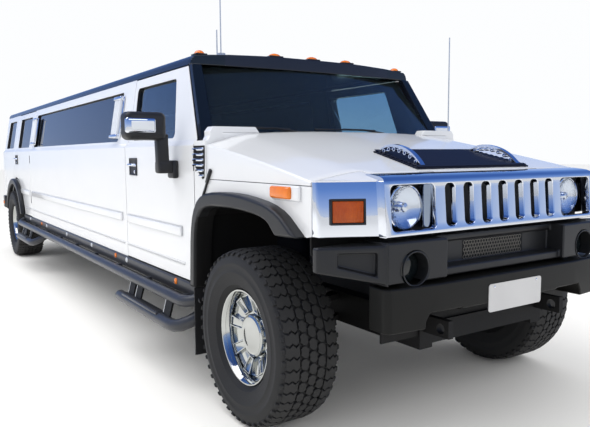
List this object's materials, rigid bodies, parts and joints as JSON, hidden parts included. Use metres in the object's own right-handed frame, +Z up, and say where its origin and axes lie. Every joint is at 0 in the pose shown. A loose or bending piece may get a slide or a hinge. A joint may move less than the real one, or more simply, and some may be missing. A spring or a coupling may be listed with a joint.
{
  "type": "stretch limousine",
  "caption": "Long off-road-style limousine on a ladder frame, with swinging doors, tilting hood, lifting tailgate, steered front wheels and side steps.",
  "frame": {"origin": "on the ground at the middle of the overall length and width", "axes": "+X forward, +Y to the vehicle's left, +Z up"},
  "size_m": [8.22, 2.584, 2.3948],
  "materials": {
    "body_paint": "gloss white paint",
    "roof_paint": "gloss near-black blue paint",
    "chrome": "polished chrome",
    "bumper_grey": "satin dark grey",
    "trim_black": "satin black",
    "frame_black": "satin black",
    "engine_metal": "bare metal",
    "dark_glass": "dark tinted glass",
    "clear_glass": "lightly tinted glass",
    "lamp_glass": "clear lamp",
    "amber_lens": "amber lens",
    "red_lens": "red lens",
    "tyre": "black rubber",
    "leather": "dark leather"
  },
  "bodies": {
    "chassis": {"frame_rails": "frame_black", "floor_pan": "frame_black", "roof_panel": "roof_paint", "mid_side_panels": "body_paint", "rear_quarter_panels": "body_paint", "windscreen_frame": "roof_paint", "windscreen": "clear_glass", "partition": "trim_black", "dashboard": "trim_black", "front_fenders": "body_paint", "grille_shell": "chrome", "grille_back": "trim_black", "headlamps": "lamp_glass", "amber_lamps": "amber_lens", "front_bumper": "bumper_grey", "rear_bumper": "bumper_grey", "hitch_receiver": "frame_black", "tow_loops": "frame_black", "tail_lamps": "red_lens", "fixed_side_glass": "dark_glass", "wheel_arch_flares": "bumper_grey", "side_steps": "bumper_grey", "mud_flaps": "trim_black", "engine_block": "engine_metal", "front_suspension": "frame_black", "rear_axle": "frame_black", "underbody": "engine_metal", "seats": "leather", "steering_wheel": "trim_black", "antennas": "trim_black", "coach_lamps": "chrome", "hinge_pins": "frame_black"},
    "hood": {"hood": "body_paint", "hood_louvre": "trim_black"},
    "front_door_left": {"front_door_left": "body_paint", "front_door_glass_left": "clear_glass", "mirror_left": "trim_black"},
    "front_door_right": {"front_door_right": "body_paint", "front_door_glass_right": "clear_glass", "mirror_right": "trim_black"},
    "rear_door_left": {"rear_door_left": "body_paint", "rear_door_glass_left": "dark_glass"},
    "rear_door_right": {"rear_door_right": "body_paint", "rear_door_glass_right": "dark_glass"},
    "tailgate": {"tailgate": "body_paint", "tailgate_glass": "dark_glass"},
    "knuckle_left": {"knuckle_left": "frame_black"},
    "knuckle_right": {"knuckle_right": "frame_black"},
    "wheel_front_right": {"rim_front_right": "chrome", "tyre_front_right": "tyre"},
    "wheel_front_left": {"rim_front_left": "chrome", "tyre_front_left": "tyre"},
    "wheel_rear_right": {"rim_rear_right": "chrome", "tyre_rear_right": "tyre"},
    "wheel_rear_left": {"rim_rear_left": "chrome", "tyre_rear_left": "tyre"}
  },
  "joints": [
    {"name": "hood_tilt", "type": "hinge", "parent": "chassis", "child": "hood", "pos_m": [3.9135, 0, 1.244], "axis": [0, 1, 0], "range_deg": [0, 70]},
    {"name": "tailgate_lift", "type": "hinge", "parent": "chassis", "child": "tailgate", "pos_m": [-4.02, 0, 1.8645], "axis": [0, 1, 0], "range_deg": [0, 85]},
    {"name": "front_door_right_swing", "type": "hinge", "parent": "chassis", "child": "front_door_right", "pos_m": [2.7075, -0.975, 1], "axis": [0, 0, 1], "range_deg": [0, 65]},
    {"name": "front_door_left_swing", "type": "hinge", "parent": "chassis", "child": "front_door_left", "pos_m": [2.7075, 0.975, 1], "axis": [0, 0, -1], "range_deg": [0, 65]},
    {"name": "rear_door_right_swing", "type": "hinge", "parent": "chassis", "child": "rear_door_right", "pos_m": [-2.0665, -0.975, 1], "axis": [0, 0, 1], "range_deg": [0, 65]},
    {"name": "rear_door_left_swing", "type": "hinge", "parent": "chassis", "child": "rear_door_left", "pos_m": [-2.0665, 0.975, 1], "axis": [0, 0, -1], "range_deg": [0, 65]},
    {"name": "steer_right", "type": "hinge", "parent": "chassis", "child": "knuckle_right", "pos_m": [3.31, -0.8, 0.436], "axis": [0, 0, 1], "range_deg": [-30, 30]},
    {"name": "steer_left", "type": "hinge", "parent": "chassis", "child": "knuckle_left", "pos_m": [3.31, 0.8, 0.436], "axis": [0, 0, 1], "range_deg": [-30, 30]},
    {"name": "wheel_front_right_spin", "type": "hinge", "parent": "knuckle_right", "child": "wheel_front_right", "pos_m": [3.31, -0.882, 0.436], "axis": [0, 1, 0], "continuous": true},
    {"name": "wheel_front_left_spin", "type": "hinge", "parent": "knuckle_left", "child": "wheel_front_left", "pos_m": [3.31, 0.882, 0.436], "axis": [0, 1, 0], "continuous": true},
    {"name": "wheel_rear_right_spin", "type": "hinge", "parent": "chassis", "child": "wheel_rear_right", "pos_m": [-3.05, -0.882, 0.436], "axis": [0, 1, 0], "continuous": true},
    {"name": "wheel_rear_left_spin", "type": "hinge", "parent": "chassis", "child": "wheel_rear_left", "pos_m": [-3.05, 0.882, 0.436], "axis": [0, 1, 0], "continuous": true}
  ],
  "couplings": [
    {"joint": "steer_left", "follows": "steer_right", "ratio": 1}
  ]
}
